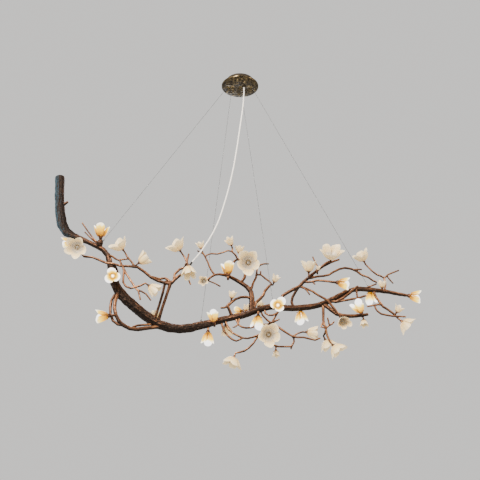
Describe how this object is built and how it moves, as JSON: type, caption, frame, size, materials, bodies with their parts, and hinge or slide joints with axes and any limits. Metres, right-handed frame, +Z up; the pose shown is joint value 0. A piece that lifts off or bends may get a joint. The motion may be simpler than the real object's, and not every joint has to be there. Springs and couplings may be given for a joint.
{
  "type": "branch chandelier",
  "caption": "Cast branch hung level on thin cables from a round canopy, with glass blossoms along its twigs, some of them lit by LED capsules.",
  "frame": {"origin": "middle of the ceiling plate's upper face, where it meets the ceiling", "axes": "+Z up into the ceiling, +X along the branch to its thin tip, +Y to the back"},
  "size_m": [1.8979, 0.2681, 1.6173],
  "materials": {
    "iron": "hammered, dark bronze patina",
    "steel": "brushed",
    "brass": "turned",
    "driver_case": "matt",
    "terminal_plastic": "satin",
    "rubber": "matt",
    "cord_sheath": "satin",
    "ceramic": "unglazed ceramic",
    "lit_glass": "frosted cast glass",
    "frosted_glass": "frosted cast glass",
    "led_silicone": "clear silicone over warm LEDs",
    "aged_copper": "aged, brushed high spots"
  },
  "bodies": {
    "canopy": {"ceiling_plate": "steel", "load_posts": "steel", "canopy_pan": "iron", "canopy_disc": "iron", "disc_screws": "iron", "led_driver": "driver_case", "driver_screws": "steel", "terminal_block": "terminal_plastic", "supply_grommet": "rubber", "swivel_seats": "brass", "cord_gland": "iron"},
    "hanging": {"cable_grippers": "brass", "cable_1": "steel", "cable_2": "steel", "cable_3": "steel", "cable_4": "steel", "cable_sleeves": "steel", "branch_eyes": "aged_copper", "power_cord": "cord_sheath", "cord_boot": "cord_sheath", "branch_grommet": "iron", "root_stub": "aged_copper", "trunk_left": "aged_copper", "trunk_middle": "aged_copper", "trunk_right": "aged_copper", "trunk_twigs": "aged_copper", "loop_limb": "aged_copper", "arch_limb": "aged_copper", "middle_limb": "aged_copper", "small_limb": "aged_copper", "low_limb": "aged_copper", "crown_limb": "aged_copper", "side_limb": "aged_copper", "drop_limb": "aged_copper", "tip_twigs": "aged_copper", "calyx_cups": "aged_copper", "lamp_holders": "ceramic", "lit_shades": "lit_glass", "large_blossoms": "frosted_glass", "medium_blossoms": "frosted_glass", "buds": "frosted_glass"},
    "plunger_1": {"plunger_1": "steel"},
    "plunger_2": {"plunger_2": "steel"},
    "plunger_3": {"plunger_3": "steel"},
    "plunger_4": {"plunger_4": "steel"},
    "led_1": {"led_1": "led_silicone"},
    "led_2": {"led_2": "led_silicone"},
    "led_3": {"led_3": "led_silicone"},
    "led_4": {"led_4": "led_silicone"},
    "led_5": {"led_5": "led_silicone"},
    "led_6": {"led_6": "led_silicone"},
    "led_7": {"led_7": "led_silicone"},
    "led_8": {"led_8": "led_silicone"},
    "led_9": {"led_9": "led_silicone"},
    "led_10": {"led_10": "led_silicone"},
    "led_11": {"led_11": "led_silicone"},
    "led_12": {"led_12": "led_silicone"},
    "led_13": {"led_13": "led_silicone"},
    "led_14": {"led_14": "led_silicone"},
    "led_15": {"led_15": "led_silicone"}
  },
  "joints": [
    {"name": "lamp_swing", "type": "hinge", "parent": "canopy", "child": "hanging", "pos_m": [0, 0, -0.033], "axis": [1, 0, 0], "range_deg": [-5, 5]},
    {"name": "plunger_1_press", "type": "slide", "parent": "hanging", "child": "plunger_1", "axis": [0.5557, 0.0231, 0.8311], "range_m": [-0.002, 0], "stiffness_N_per_m": 500, "springref_m": 0.001},
    {"name": "plunger_2_press", "type": "slide", "parent": "hanging", "child": "plunger_2", "axis": [0.1089, -0.0104, 0.994], "range_m": [-0.002, 0], "stiffness_N_per_m": 500, "springref_m": 0.001},
    {"name": "plunger_3_press", "type": "slide", "parent": "hanging", "child": "plunger_3", "axis": [-0.1272, -0.0016, 0.9919], "range_m": [-0.002, 0], "stiffness_N_per_m": 500, "springref_m": 0.001},
    {"name": "plunger_4_press", "type": "slide", "parent": "hanging", "child": "plunger_4", "axis": [-0.4442, -0.0107, 0.8959], "range_m": [-0.002, 0], "stiffness_N_per_m": 500, "springref_m": 0.001},
    {"name": "led_1_pull", "type": "slide", "parent": "hanging", "child": "led_1", "axis": [0, -0.1045, 0.9945], "range_m": [0, 0.008]},
    {"name": "led_2_pull", "type": "slide", "parent": "hanging", "child": "led_2", "axis": [-0.9513, -0.1677, -0.2588], "range_m": [0, 0.008]},
    {"name": "led_3_pull", "type": "slide", "parent": "hanging", "child": "led_3", "axis": [0.135, -0.9609, -0.2419], "range_m": [0, 0.008]},
    {"name": "led_4_pull", "type": "slide", "parent": "hanging", "child": "led_4", "axis": [-0.9752, -0.172, -0.1392], "range_m": [0, 0.008]},
    {"name": "led_5_pull", "type": "slide", "parent": "hanging", "child": "led_5", "axis": [0, -0.0872, 0.9962], "range_m": [0, 0.008]},
    {"name": "led_6_pull", "type": "slide", "parent": "hanging", "child": "led_6", "axis": [-0.1294, -0.483, 0.866], "range_m": [0, 0.008]},
    {"name": "led_7_pull", "type": "slide", "parent": "hanging", "child": "led_7", "axis": [0, -0.0698, -0.9976], "range_m": [0, 0.008]},
    {"name": "led_8_pull", "type": "slide", "parent": "hanging", "child": "led_8", "axis": [-0.7849, 0.4532, 0.4226], "range_m": [0, 0.008]},
    {"name": "led_9_pull", "type": "slide", "parent": "hanging", "child": "led_9", "axis": [0, -0.9781, -0.2079], "range_m": [0, 0.008]},
    {"name": "led_10_pull", "type": "slide", "parent": "hanging", "child": "led_10", "axis": [-0.067, -0.25, -0.9659], "range_m": [0, 0.008]},
    {"name": "led_11_pull", "type": "slide", "parent": "hanging", "child": "led_11", "axis": [0, -0.0698, -0.9976], "range_m": [0, 0.008]},
    {"name": "led_12_pull", "type": "slide", "parent": "hanging", "child": "led_12", "axis": [0.9848, -0.1035, -0.1392], "range_m": [0, 0.008]},
    {"name": "led_13_pull", "type": "slide", "parent": "hanging", "child": "led_13", "axis": [0.9491, -0.2017, -0.2419], "range_m": [0, 0.008]},
    {"name": "led_14_pull", "type": "slide", "parent": "hanging", "child": "led_14", "axis": [0.0302, -0.171, -0.9848], "range_m": [0, 0.008]},
    {"name": "led_15_pull", "type": "slide", "parent": "hanging", "child": "led_15", "axis": [-0.4277, -0.5474, 0.7193], "range_m": [0, 0.008]}
  ]
}
